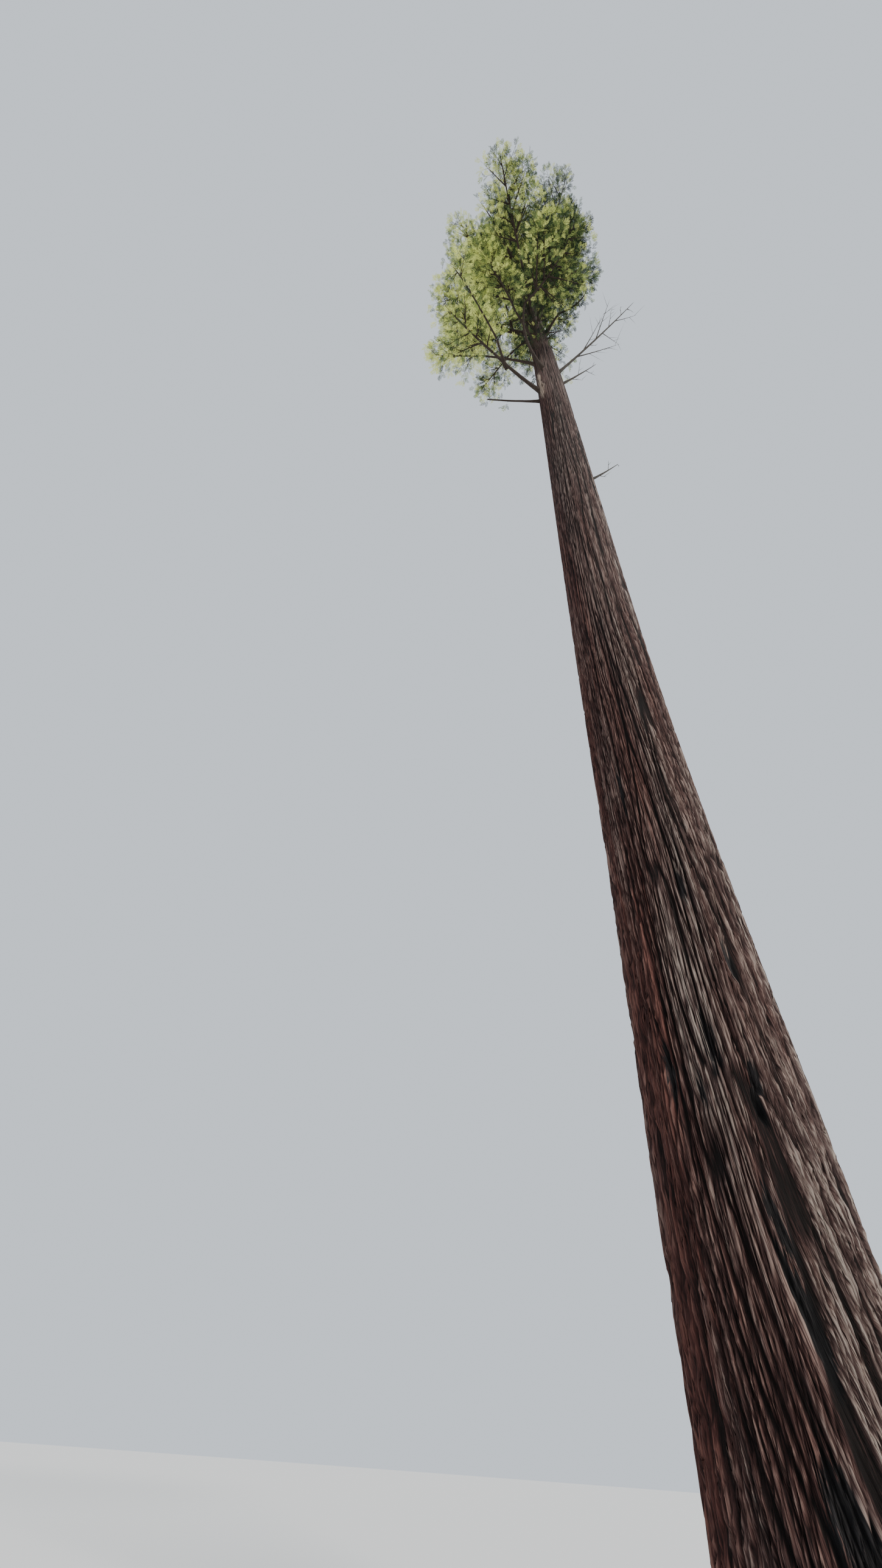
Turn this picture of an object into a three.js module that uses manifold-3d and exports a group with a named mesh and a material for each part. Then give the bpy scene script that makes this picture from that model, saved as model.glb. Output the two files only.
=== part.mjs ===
// A coast redwood: one tall trunk with a flared foot, bare for half its height, and above it a
// narrow crown of drooping foliage masses on tapering boughs.
// Millimetres, +Z up. The origin is the centre of the flat cut at ground level.
// The tree is modelled at two thirds of its real size: 60 m in life, 40 m here.
// -Y is the side of the crown that reaches out furthest, over an open gap in the forest.

import * as THREE from "three";
import { mergeVertices } from "three/addons/utils/BufferGeometryUtils.js";
import Module from "manifold-3d";

const wasm = await Module();
wasm.setup();

// Touching solids keep this gap.
const GAP = 0.3;
const MERGE_TOLERANCE = 1e-3;

// Trunk: height, the lean of its tip towards -Y and the slight sweep of its upper half to +X.
const HEIGHT = 40000;
const LEAN = 2300;
const LEAN_POWER = 1.35;
const SWEEP = 250;
const SWEEP_FROM = 6000;
const SWEEP_TO = 25000;

// Trunk radius: the plain stem, the swollen butt and the root flare add up.
const STEM_RADIUS = 503;
const STEM_POWER = 0.6;
const TIP_POWER = 0.35;
const BUTT_RADIUS = 88;
const BUTT_HEIGHT = 5000;
const FLARE_RADIUS = 180;
const FLARE_HEIGHT = 550;
// Buttresses round the foot: the waves round the trunk that add up to them.
const BUTTRESS_WAVES = [
  { count: 5, depth: 0.055, from: 0.6 },
  { count: 3, depth: 0.04, from: 2.1 },
  { count: 2, depth: 0.03, from: 4.4 },
];
const BUTTRESS_HEIGHT = 1300;
const TRUNK_SIDES = 24;
const TRUNK_RINGS = 27;
const RING_POWER = 1.6;

// Limbs: sides round a limb and steps along it.
const LIMB_SIDES = 6;
const LIMB_STEPS = 5;
// A limb starts this share of the trunk's radius out from its axis, ends this share of the mass's
// length inside the mass, and narrows to this share of its root radius.
const LIMB_ROOT = 0.5;
const LIMB_SUNK = 0.22;
const LIMB_TAPER = 0.55;

// Foliage masses: half width and half depth as shares of the length, on open boughs and where the
// masses close round the trunk. The outer end droops by a share of the length.
const OPEN_MASS = { width: 0.4, depth: 0.3 };
const CLOSE_MASS = { width: 0.42, depth: 0.32 };
const DROOP = 0.2;
// The sides of a mass droop by this share of what its end does, and it narrows towards that end.
const SIDE_DROOP = 0.35;
const MASS_TAPER = 0.24;
// Unevenness of a mass: broad lumps and finer ripples, each a depth and its waves along the mass.
const LUMP_DEPTH = 0.13;
const LUMP_WAVES = { along: 3.3, across: 3.7 };
const RIPPLE_DEPTH = 0.09;
const RIPPLE_WAVES = { along: 4.3, up: 5.1 };
// How far an uneven mass's waves move for a full step of its lump number.
const WAVE_SHIFTS = { along: 9, across: 5, ripple: 7 };

// Crown: a spiral of boughs from the crown's base to close under the tip.
const CROWN_BASE = 21600;
const CROWN_TOP = 38300;
// The crown comes down lowest on this side. Across the trunk from it the boughs start higher, and
// over the lower share of the crown they reach less far.
const LOW_TURN = 238;
const SHELTERED_RISE = 5600;
const SHELTERED_LOSS = 0.45;
const SHELTER_SHARE = 0.6;
const SPOKES = 36;
const SPOKE_CROWDING = 0.93;
const GOLDEN_TURN = 180 * (3 - Math.sqrt(5));
const FIRST_TURN = 335;
const TURN_WANDER = 22;
const WIDEST_REACH = 3150;
const TOP_REACH = 1050;
// The outline narrows to the top by this power, and a little over the lowest share of the crown.
const OUTLINE_POWER = 2.2;
const BASE_NARROWING = 0.12;
const BASE_SHARE = 0.25;
const REACH_WANDER = 0.2;
// The crown reaches furthest on this side, over the gap, by this share of its mean reach.
const GAP_TURN = 268;
const GAP_REACH = 0.24;
// Above this share of the crown's height the masses close round the trunk and hide their boughs.
const OPEN_CROWN = 0.2;
const OPEN_INNER = 0.34;
const CLOSE_INNER = 0.04;
// From the lowest bough to the highest: how high its middle and its tip stand over its root, as
// shares of its reach, and its radius at the root.
const MIDDLE_RISE = [0.14, 0.42];
const TIP_LIFT = [-0.05, 0.8];
const TIP_LIFT_POWER = 1.5;
const SPOKE_RADIUS = [46, 16];

// Low boughs against the sky. Turns are degrees round the trunk from +X, a reach is from its axis,
// and a mass starts at the share of its bough called inner.
const LOW_BOUGHS = [
  {
    root: { turn: 224, z: 19300, radius: 52 },
    shoulder: { turn: 226, reach: 1600, z: 20450 },
    tip: { turn: 229, reach: 3350, z: 22400 },
    inner: 0.5,
  },
  {
    root: { turn: 203, z: 22200, radius: 38 },
    shoulder: { turn: 205, reach: 1700, z: 22700 },
    tip: { turn: 204, reach: 3500, z: 22900 },
    inner: 0.48,
  },
  {
    root: { turn: 268, z: 20800, radius: 44 },
    shoulder: { turn: 268, reach: 1500, z: 23100 },
    tip: { turn: 316, reach: 2900, z: 25900 },
    inner: 0.52,
  },
  {
    root: { turn: 271, z: 24300, radius: 48 },
    shoulder: { turn: 272, reach: 2200, z: 25900 },
    tip: { turn: 273, reach: 4650, z: 26600 },
    inner: 0.4,
  },
];
// A fork leaves the first low bough this far along it, towards its own tip.
const FORK = {
  along: 0.34,
  radius: 30,
  shoulder: { turn: 243, reach: 2350, z: 20900 },
  tip: { turn: 246, reach: 3550, z: 22650 },
  inner: 0.5,
};
// Small limbs with no foliage mass.
const BARE_LIMBS = [
  {
    name: "dead_limb_01",
    root: { turn: 350, z: 20900, radius: 30 },
    tip: { turn: 344, reach: 2550, z: 21500 },
  },
  {
    name: "dead_limb_02",
    root: { turn: 352, z: 20050, radius: 24 },
    tip: { turn: 356, reach: 1200, z: 20250 },
  },
  {
    name: "dead_limb_03",
    root: { turn: 356, z: 14050, radius: 18 },
    tip: { turn: 357, reach: 900, z: 14250 },
  },
  {
    name: "low_limb",
    root: { turn: 196, z: 19250, radius: 30 },
    tip: { turn: 200, reach: 1650, z: 19450 },
  },
];
const BARE_LIMB_SAG = 0.06;

const BARK = 0x6b4a3a;
const LIMB_BARK = 0x54443a;
const DEAD_WOOD = 0x8a8178;
const FOLIAGE = 0x4c6429;

const tree = new THREE.Group();

// The sizes that wander from piece to piece, each with a number of its own.
const WANDERING = { turn: 1, reach: 2, lump: 3, lowLump: 7 };

// A number from 0 to 1 that depends on a piece's number and on which of its sizes is asked for.
function wander(piece, size) {
  const wave = Math.sin(piece * 12.9898 + size * 78.233) * 43758.5453;
  return wave - Math.floor(wave);
}

function smoothStep(from, to, value) {
  return THREE.MathUtils.smoothstep(value, from, to);
}

// The trunk's centre line.
function trunkAxis(z) {
  const up = Math.max(z, 0) / HEIGHT;
  return new THREE.Vector3(SWEEP * smoothStep(SWEEP_FROM, SWEEP_TO, z), -LEAN * up ** LEAN_POWER, z);
}

function trunkRadius(z) {
  const up = z / HEIGHT;
  const stem = STEM_RADIUS * (1 - up) ** (STEM_POWER + TIP_POWER * up ** 4);
  const butt = BUTT_RADIUS * Math.exp(-((z / BUTT_HEIGHT) ** 2));
  return stem + butt + FLARE_RADIUS * Math.exp(-z / FLARE_HEIGHT);
}

// How far the foot swells out at an angle round the trunk, as a share of its radius.
function buttressing(around) {
  let swell = 0;
  for (const { count, depth, from } of BUTTRESS_WAVES) swell += depth * Math.cos(count * around - from);
  return swell;
}

// A solid from a closed three.js geometry.
function solidFrom(geometry) {
  geometry.deleteAttribute("normal");
  geometry.deleteAttribute("uv");
  const merged = mergeVertices(geometry, MERGE_TOLERANCE);
  const corners = merged.index.array;
  const kept = [];
  for (let i = 0; i < corners.length; i += 3) {
    const [a, b, c] = corners.slice(i, i + 3);
    if (a !== b && b !== c && c !== a) kept.push(a, b, c);
  }
  const vertProperties = new Float32Array(merged.attributes.position.array);
  return new wasm.Manifold(new wasm.Mesh({ numProp: 3, vertProperties, triVerts: new Uint32Array(kept) }));
}

// Moves every vertex of a geometry to where a function of its old place says.
function reshape(geometry, place) {
  const position = geometry.getAttribute("position");
  for (let i = 0; i < position.count; i++) {
    const moved = place(new THREE.Vector3().fromBufferAttribute(position, i));
    position.setXYZ(i, moved.x, moved.y, moved.z);
  }
  return geometry;
}

// The trunk, wider by grow: a turned profile, leant and swept, with buttresses round its foot.
function trunkSolid(grow) {
  const profile = [new THREE.Vector2(0, 0)];
  for (let ring = 0; ring < TRUNK_RINGS; ring++) {
    const z = HEIGHT * (ring / TRUNK_RINGS) ** RING_POWER;
    profile.push(new THREE.Vector2(trunkRadius(z) + grow, z));
  }
  profile.push(new THREE.Vector2(0, HEIGHT + grow));
  const turned = new THREE.LatheGeometry(profile, TRUNK_SIDES).rotateX(Math.PI / 2);
  const shaped = reshape(turned, (point) => {
    const around = Math.atan2(point.y, point.x);
    const swell = 1 + buttressing(around) * Math.exp(-point.z / BUTTRESS_HEIGHT);
    const centre = trunkAxis(point.z);
    return new THREE.Vector3(centre.x + point.x * swell, centre.y + point.y * swell, point.z);
  });
  return solidFrom(shaped);
}

// A limb, wider by grow: a tapering round bar bent along a curve.
function limbSolid(limb, grow) {
  const { curve, rootRadius, tipRadius } = limb;
  const frames = curve.computeFrenetFrames(LIMB_STEPS);
  const bar = new THREE.CylinderGeometry(1, 1, 1, LIMB_SIDES, LIMB_STEPS);
  const bent = reshape(bar, (point) => {
    const step = Math.round((point.y + 0.5) * LIMB_STEPS);
    const along = step / LIMB_STEPS;
    const radius = THREE.MathUtils.lerp(rootRadius, tipRadius, along) + grow;
    return curve
      .getPoint(along)
      .addScaledVector(frames.normals[step], point.z * radius)
      .addScaledVector(frames.binormals[step], point.x * radius);
  });
  return solidFrom(bent);
}

// The faceted unit sphere that every mass is shaped from.
const LOBE_SURFACE = new THREE.IcosahedronGeometry(1, 1);
LOBE_SURFACE.deleteAttribute("normal");
LOBE_SURFACE.deleteAttribute("uv");
const LOBE = mergeVertices(LOBE_SURFACE);

// How far a mass swells at a point of the unit sphere.
function unevenness(point, lump) {
  const along = Math.sin(LUMP_WAVES.along * point.x + WAVE_SHIFTS.along * lump);
  const across = Math.cos(LUMP_WAVES.across * point.y + WAVE_SHIFTS.across * lump);
  const rippled = RIPPLE_WAVES.up * point.z + RIPPLE_WAVES.along * point.x + WAVE_SHIFTS.ripple * lump;
  return 1 + LUMP_DEPTH * along * across + RIPPLE_DEPTH * Math.sin(rippled);
}

// A foliage mass, bigger by grow: a lumpy lobe along its bough whose outer end droops.
function massSolid(mass, grow) {
  const outward = mass.to.clone().sub(mass.from);
  const halfLength = outward.length() / 2;
  outward.normalize();
  const sideways = new THREE.Vector3(-outward.y, outward.x, 0).normalize();
  const upward = new THREE.Vector3().crossVectors(outward, sideways);
  const centre = mass.from.clone().add(mass.to).multiplyScalar(0.5);
  const shaped = reshape(LOBE.clone(), (point) => {
    const swell = unevenness(point, mass.lump);
    const taper = 1 - MASS_TAPER * point.x;
    const length = point.x * swell * (halfLength + grow);
    const width = point.y * swell * taper * (mass.halfWidth + grow);
    const depth = point.z * swell * taper * (mass.halfDepth + grow);
    const droop = mass.droop * (Math.max(point.x, 0) ** 2 + SIDE_DROOP * point.y ** 2);
    return centre
      .clone()
      .addScaledVector(outward, length)
      .addScaledVector(sideways, width)
      .addScaledVector(upward, depth)
      .add(new THREE.Vector3(0, 0, -droop));
  });
  return solidFrom(shaped);
}

// A point at a turn, in degrees, and a reach from the trunk's axis at height z.
function station({ turn, reach, z }) {
  const angle = THREE.MathUtils.degToRad(turn);
  return trunkAxis(z).add(new THREE.Vector3(reach * Math.cos(angle), reach * Math.sin(angle), 0));
}

// Where a limb starts, inside the trunk.
function rootPoint({ turn, z }) {
  return station({ turn, reach: LIMB_ROOT * trunkRadius(z), z });
}

// The control point of the quadratic curve that passes through a middle point.
function passingThrough(start, middle, end) {
  return middle.clone().multiplyScalar(2).addScaledVector(start, -0.5).addScaledVector(end, -0.5);
}

// A bough and the mass it carries. The limb follows the first share of the whole curve, and ends
// a little inside the mass, which takes the rest of it.
function bough(start, shoulder, tip, { inner, rootRadius, lump, width, depth }) {
  const whole = new THREE.QuadraticBezierCurve3(start, passingThrough(start, shoulder, tip), tip);
  const from = whole.getPoint(inner);
  const length = from.distanceTo(tip);
  const limbShare = inner + (1 - inner) * LIMB_SUNK;
  const limbEnd = whole.getPoint(limbShare);
  const limbBend = passingThrough(start, whole.getPoint(limbShare / 2), limbEnd);
  return {
    limb: {
      curve: new THREE.QuadraticBezierCurve3(start, limbBend, limbEnd),
      rootRadius,
      tipRadius: LIMB_TAPER * rootRadius,
    },
    mass: {
      from,
      to: tip,
      halfWidth: width * length,
      halfDepth: depth * length,
      droop: DROOP * length,
      lump,
    },
  };
}

function lowBoughs() {
  const made = LOW_BOUGHS.map(({ root, shoulder, tip, inner }, number) =>
    bough(rootPoint(root), station(shoulder), station(tip), {
      inner,
      rootRadius: root.radius,
      lump: wander(number, WANDERING.lowLump),
      ...OPEN_MASS,
    }),
  );
  const forkStart = made[0].limb.curve.getPoint(FORK.along / LOW_BOUGHS[0].inner);
  made.push(
    bough(forkStart, station(FORK.shoulder), station(FORK.tip), {
      inner: FORK.inner,
      rootRadius: FORK.radius,
      lump: wander(LOW_BOUGHS.length, WANDERING.lowLump),
      ...OPEN_MASS,
    }),
  );
  return made;
}

// How sheltered a side of the crown is: 0 where it comes down lowest, 1 across the trunk from there.
function shelter(turn) {
  return 0.5 - 0.5 * Math.cos(THREE.MathUtils.degToRad(turn - LOW_TURN));
}

// How far a bough of the spiral reaches, by its share of the crown's height and its turn.
function spokeReach(up, turn) {
  const outline = WIDEST_REACH * (1 - up ** OUTLINE_POWER) + TOP_REACH * up;
  const base = 1 - BASE_NARROWING * (1 - smoothStep(0, BASE_SHARE, up));
  const crowded = 1 - SHELTERED_LOSS * shelter(turn) * (1 - smoothStep(0, SHELTER_SHARE, up));
  return outline * base * crowded * (1 + GAP_REACH * Math.cos(THREE.MathUtils.degToRad(turn - GAP_TURN)));
}

// One bough of the spiral: low ones arch over and droop, high ones climb.
function spoke(number) {
  const up = (number / (SPOKES - 1)) ** SPOKE_CROWDING;
  const turn = FIRST_TURN + number * GOLDEN_TURN + (wander(number, WANDERING.turn) - 0.5) * TURN_WANDER;
  const reach = spokeReach(up, turn) * (1 + (wander(number, WANDERING.reach) - 0.5) * REACH_WANDER);
  const base = CROWN_BASE + SHELTERED_RISE * shelter(turn);
  const z = THREE.MathUtils.lerp(base, CROWN_TOP, up);
  const rise = THREE.MathUtils.lerp(...MIDDLE_RISE, up) * reach;
  const lift = THREE.MathUtils.lerp(...TIP_LIFT, up ** TIP_LIFT_POWER) * reach;
  const open = up < OPEN_CROWN;
  const made = bough(
    rootPoint({ turn, z }),
    station({ turn, reach: reach / 2, z: z + rise }),
    station({ turn, reach, z: z + lift }),
    {
      inner: open ? OPEN_INNER : CLOSE_INNER,
      rootRadius: THREE.MathUtils.lerp(...SPOKE_RADIUS, up),
      lump: wander(number, WANDERING.lump),
      ...(open ? OPEN_MASS : CLOSE_MASS),
    },
  );
  return { ...made, open };
}

// A limb that carries no mass: nearly straight, with a slight sag.
function bareLimb({ root, tip }) {
  const start = rootPoint(root);
  const end = station(tip);
  const middle = start.clone().lerp(end, 0.5);
  middle.z -= BARE_LIMB_SAG * start.distanceTo(end);
  return {
    curve: new THREE.QuadraticBezierCurve3(start, passingThrough(start, middle, end), end),
    rootRadius: root.radius,
    tipRadius: LIMB_TAPER * root.radius,
  };
}

// The biggest body of a cut solid, because a cut can leave crumbs beside it.
function biggestBody(solid) {
  return solid.decompose().reduce((best, body) => (body.volume() > best.volume() ? body : best));
}

// What is placed so far, each solid grown by the gap, to cut its neighbours with.
const placed = [];

function boxesMeet(a, b) {
  const one = a.boundingBox();
  const two = b.boundingBox();
  return [0, 1, 2].every((axis) => one.min[axis] < two.max[axis] && two.min[axis] < one.max[axis]);
}

// Cuts a new solid round the ones already placed, keeps the gap to them and adds it to the tree.
function place(name, make, colour) {
  let solid = make(0);
  for (const grown of placed) {
    if (boxesMeet(solid, grown)) solid = biggestBody(solid.subtract(grown));
  }
  placed.push(make(GAP));
  const shell = solid.getMesh();
  const geometry = new THREE.BufferGeometry();
  geometry.setAttribute("position", new THREE.BufferAttribute(shell.vertProperties, 3));
  geometry.setIndex(new THREE.BufferAttribute(shell.triVerts, 1));
  geometry.computeVertexNormals();
  const material = new THREE.MeshStandardMaterial({ color: colour, roughness: 0.9, metalness: 0 });
  const mesh = new THREE.Mesh(geometry, material);
  mesh.name = name;
  tree.add(mesh);
}

function numbered(word, number) {
  return `${word}_${String(number + 1).padStart(2, "0")}`;
}

place("trunk", trunkSolid, BARK);

const low = lowBoughs();
const spokes = Array.from({ length: SPOKES }, (_, number) => spoke(number));
[...low, ...spokes].forEach(({ mass }, number) => {
  place(numbered("foliage", number), (grow) => massSolid(mass, grow), FOLIAGE);
});
[...low, ...spokes.filter(({ open }) => open)].forEach(({ limb }, number) => {
  place(numbered("bough", number), (grow) => limbSolid(limb, grow), LIMB_BARK);
});
BARE_LIMBS.forEach((bare) => {
  const colour = bare.name.startsWith("dead") ? DEAD_WOOD : LIMB_BARK;
  place(bare.name, (grow) => limbSolid(bareLimb(bare), grow), colour);
});

export default tree;
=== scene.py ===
"""A coast redwood: furrowed bark on its trunk and boughs, and foliage grown by a seeded branching rule.

Metres, +Z up. The origin is the centre of the flat cut at ground level.
A turn is the angle round the trunk from +X, and the crown reaches out furthest at a turn of 270 degrees.
"""

import itertools
import math
import random
from collections import defaultdict, namedtuple

import bpy
import numpy as np
from mathutils import Matrix, Vector
from mathutils.bvhtree import BVHTree


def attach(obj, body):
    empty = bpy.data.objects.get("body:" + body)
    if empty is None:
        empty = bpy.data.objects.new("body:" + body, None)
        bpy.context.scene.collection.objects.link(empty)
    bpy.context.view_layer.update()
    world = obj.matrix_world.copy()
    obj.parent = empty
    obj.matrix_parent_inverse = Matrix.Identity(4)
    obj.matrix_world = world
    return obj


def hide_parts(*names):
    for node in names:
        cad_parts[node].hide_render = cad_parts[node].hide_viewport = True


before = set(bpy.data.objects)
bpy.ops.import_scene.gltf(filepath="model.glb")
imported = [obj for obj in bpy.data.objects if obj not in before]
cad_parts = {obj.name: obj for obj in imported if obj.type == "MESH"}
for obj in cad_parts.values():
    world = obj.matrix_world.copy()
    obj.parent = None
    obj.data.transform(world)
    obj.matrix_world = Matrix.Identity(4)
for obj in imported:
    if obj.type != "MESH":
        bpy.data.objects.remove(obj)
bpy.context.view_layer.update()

BODY = "root"
UP = Vector((0, 0, 1))

# The photograph's frame in pixels: its size, its focal length, and where the point straight up lies.
PHOTO_WIDTH = 1449
PHOTO_HEIGHT = 2576
FOCAL_PIXELS = 1062
ZENITH_PIXEL = (799, 283)
# The viewer's eye, and how far to the right of the way they face the tree stands.
EYE = (0.0, -5.33, 1.07)
TREE_BEARING = math.radians(25)
SENSOR_WIDTH = 36.0
VIEW_RANGE = 1000.0

# Where the soft sun stands and how wide it is, in degrees, how strong it is, and the pale surroundings.
SUN_TURN = 318
SUN_HEIGHT = 38
SUN_SIZE = 18
SUN_STRENGTH = 2.7
SUN_COLOUR = (1.0, 0.95, 0.87)
SKY_COLOUR = (0.80, 0.87, 0.95)
FLOOR_RADIUS = 220.0
FLOOR_SIDES = 96
FLOOR_COLOUR = (0.78, 0.77, 0.75)

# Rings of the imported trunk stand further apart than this, and this many waves round it tell its outline.
# The bark comes no closer to its centre line than the least radius.
RING_SEPARATION = 0.01
TRUNK_SIDES = 24
OUTLINE_WAVES = 6
LEAST_RADIUS = 0.004
MERGE_DIGITS = 5

# Bark bands from the ground up: where each starts, its columns round the trunk and its row height.
BARK_BANDS = [
    {"name": "bark_foot", "from": 0.0, "columns": 640, "row": 0.08},
    {"name": "bark_stem", "from": 9.0, "columns": 320, "row": 0.13},
    {"name": "bark_lower_crown", "from": 20.0, "columns": 160, "row": 0.16},
    {"name": "bark_upper_crown", "from": 30.0, "columns": 80, "row": 0.22},
]
# The rows at a band's top over which it takes on the next band's coarser columns.
COARSENED_ROWS = 12
# Bark depth at the ground and where it is thinnest, that height, and its most as a share of the radius.
BARK_DEPTH = (0.060, 0.018)
BARK_THINS_AT = 22.0
BARK_SHARE = 0.09
# Sets of furrows that run up the trunk and part long ridges: their count round it, how far they wander
# in gaps between them, the cells round and the cell height of that, how wide they are and how much
# that varies, and what share of a ridge's height each set takes away.
FURROWS = [
    {"count": 21, "wander": 0.75, "cells": 8, "height": 1.7, "width": 0.34, "varies": 1.1, "share": 0.90},
    {"count": 17, "wander": 0.80, "cells": 9, "height": 2.0, "width": 0.24, "varies": 1.3, "share": 0.88},
    {"count": 61, "wander": 1.2, "cells": 29, "height": 1.0, "width": 0.40, "varies": 1.1, "share": 0.62},
    {"count": 127, "wander": 1.7, "cells": 53, "height": 0.8, "width": 0.52, "varies": 1.0, "share": 0.42},
]
# A furrow narrows and opens within these, in cells of this share of its set's height. High up it is
# narrower by a share. Where wandering spreads a set, its furrows keep at least this share of their width.
FURROW_OPENING = (0.12, 1.6)
OPENING_HEIGHT = 0.6
FURROW_NARROWS = 0.45
FURROW_SPREAD = 0.35
# Flakes break the ridges up: cells round, cell height, how wide their edges are, and their share.
FLAKES = {"seed": 9, "cells": 89, "height": 0.17, "width": 0.42, "share": 0.38}
# A furrow needs this many of a band's columns. Where the next band has fewer, it fades out below it
# over this height.
FEWEST_COLUMNS = 2.2
FADES_OVER = 3.0
# Up the trunk all this grows longer: twice as long at this height.
LENGTHENS_AT = 12.0
# Near the foot they also cross the trunk to the side, most at this turn, over this height.
GRAIN_LEAN = 0.30
GRAIN_TURN = math.radians(305)
GRAIN_HEIGHT = 4.5
# Each layer's cells stand higher or lower round the trunk, so that no ridges end in line. The seed is
# added to the layer's own.
STAGGER = 1.6
STAGGER_CELLS = 3.1
STAGGER_SEED = 900
# Broad flutes under the bark, slow bends of the furrows and patches of weathering: cells round, cell
# height and size. A lean under 180 degrees makes flutes run upwards, and they end at a height.
FLUTES = {"seed": 21, "cells": 10, "height": 4.2, "lean": 38, "depth": 0.036, "end": 14.0}
BENDS = {"seed": 11, "cells": 7, "height": 2.6, "size": 0.013}
WEATHERING = {"seed": 41, "cells": 11, "height": 2.2}
# Where the trunk is weathered grey, most at this turn, and how much of it each cause adds.
GREY_TURN = math.radians(318)
WEATHERED = {"least": 0.02, "side": 0.78, "patch": 0.38, "height": 0.10}
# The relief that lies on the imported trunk's outline.
MEAN_RELIEF = 0.50
# How much painted shade darkens the bark at the ground, the height where half of that is left, and how much
# darker it is high up, where only its widest furrows are carried.
FOOT_SHADE = 0.22
FOOT_SHADE_HEIGHT = 1.1
HIGH_SHADE = 0.36
# Radius of the round on which the grain's coordinates are laid for the bark's fibres.
GRAIN_RADIUS = 0.9

# Marks on the bark: burn scars, old wounds and slits, and pale calluses. Each has a turn in degrees,
# a height, a half width in degrees and a half height in metres, and how deep it is.
Mark = namedtuple("Mark", "turn height wide tall depth")
BURNT = [
    Mark(280.5, 2.13, 3.4, 0.20, 0.025),
    Mark(282.0, 1.72, 4.0, 0.22, 0.010),
    Mark(274.5, 0.98, 6.5, 0.22, 0.008),
    Mark(269.6, 3.20, 4.6, 0.21, 0.070),
    Mark(234.3, 3.05, 5.4, 0.22, 0.060),
    Mark(256.0, 2.90, 3.2, 0.12, 0.050),
    Mark(293.0, 2.95, 3.0, 0.12, 0.050),
    Mark(291.0, 2.78, 3.0, 0.11, 0.050),
    Mark(301.0, 3.83, 3.6, 0.18, 0.050),
    Mark(279.5, 4.53, 3.6, 0.19, 0.050),
    Mark(241.0, 5.80, 3.4, 0.34, 0.030),
]
CALLUSES = [Mark(238.0, 19.3, 20.0, 0.60, -0.050), Mark(228.0, 20.3, 16.0, 0.55, -0.040)]
# How far past its edge a mark's dent reaches. How far two noises tear the edge, how much further burns
# reach in furrows, how sharp the edge is, and how soon a mark ends past it.
DENT_REACH = 0.5
MARK_TORN = (1.4, 1.6)
BURNT_IN_FURROWS = 1.2
MARK_SHARPNESS = 6.0
MARK_FADE = 3.0

# Bark colours by how high the relief stands, from 0 in the furrows to 1. Deep in the furrows they run to near
# black, which is painted shade over the bark's own dark red-brown.
BARK_DARK = (0.0070, 0.0045, 0.0038)
BARK_RED = [(0.06, BARK_DARK), (0.24, (0.026, 0.0098, 0.0084)), (0.48, (0.078, 0.0285, 0.0235)),
            (0.80, (0.185, 0.080, 0.062))]
BARK_GREY = [(0.09, BARK_DARK), (0.26, (0.027, 0.0138, 0.0125)), (0.46, (0.094, 0.060, 0.053)),
             (0.78, (0.330, 0.268, 0.228))]
BARK_CHAR = [(0.15, (0.0035, 0.0030, 0.0034)), (0.80, (0.048, 0.042, 0.042))]
BARK_CALLUS = [(0.03, (0.040, 0.025, 0.018)), (0.24, (0.210, 0.142, 0.106)), (0.56, (0.410, 0.325, 0.265))]
# Noises along the grain: their scale across and along it, and their detail. They are the fibres,
# finer strands, flakes and broad streaks of colour.
BARK_NOISES = [((46, 46, 1.5), 6.0), ((120, 120, 4.5), 3.0), ((28, 28, 7.0), 4.0), ((9, 9, 0.4), 4.0)]
# How much fibres, strands and flakes move the level that colours follow, and streaks the weathering.
LEVEL_NOISE = (1.0, 0.7, 0.55)
WEATHERED_NOISE = 1.8
# Narrow dark lines that part the fibres: their noise's scale, how wide they are in it, and how dark.
LINES = [
    {"scale": (27, 27, 0.75), "width": 0.13, "share": 0.45},
    {"scale": (70, 70, 2.2), "width": 0.15, "share": 0.30},
]
LINE_DETAIL = 2.0
WOOD_DETAIL = 6.0
NOISE_ROUGHNESS = 0.62
# The roughness and the specular level of all but the foliage.
ROUGHNESS = 0.9
SPECULAR = 0.25
# A bump's strength and distance.
BARK_BUMP = (0.8, 0.014)
WOOD_BUMP = (0.5, 0.01)
LIMB_GRAIN = (38, 38, 16)
LIMB_COLOURS = [(0.0, (0.010, 0.007, 0.005)), (0.45, (0.034, 0.023, 0.018)), (1.0, (0.105, 0.080, 0.062))]
DEAD_GRAIN = (60, 60, 30)
DEAD_COLOURS = [(0.0, (0.030, 0.025, 0.022)), (0.5, (0.105, 0.092, 0.080)), (1.0, (0.240, 0.222, 0.200))]

# The bake map of a band: the share of its height that the end faces take, and their size and places.
CAP_STRIP = 0.04
CAP_DISC = 0.016
CAP_PLACES = (0.25, 0.75)
# A bar's cell of its bake map: its margin, the share of the rest that its side takes, and where its
# root's and its tip's faces lie above that.
CELL_MARGIN = 0.03
CELL_SIDE = 0.9
CELL_ENDS = ((0.95, 0.99), (0.905, 0.945))

# Limbs: sides round a limb, distance between rings, how far it runs on into the trunk, and the
# swelling collar where it leaves it.
LIMB_SIDES = 14
LIMB_STEP = 0.05
LIMB_SUNK = 0.16
COLLAR_SWELL = 0.75
COLLAR_LENGTH = 0.16
# A limb's unevenness: ridges along it, rough places, and knots where a random draw passes a limit.
LIMB_LUMP = 0.10
LIMB_RIDGE = 0.8
LIMB_ROUGH = 0.5
LIMB_KNOT = 0.16
KNOT_LIMIT = 1.3
# What a rough place and its two neighbours are divided by. Under 3, it keeps more of the roughness.
ROUGH_PLACES = 2.4
# The rings of tubes are turned towards this way, which no shoot follows, not even one straight up.
RINGS_FACE = (0.12, 0.05, 1.0)
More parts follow.
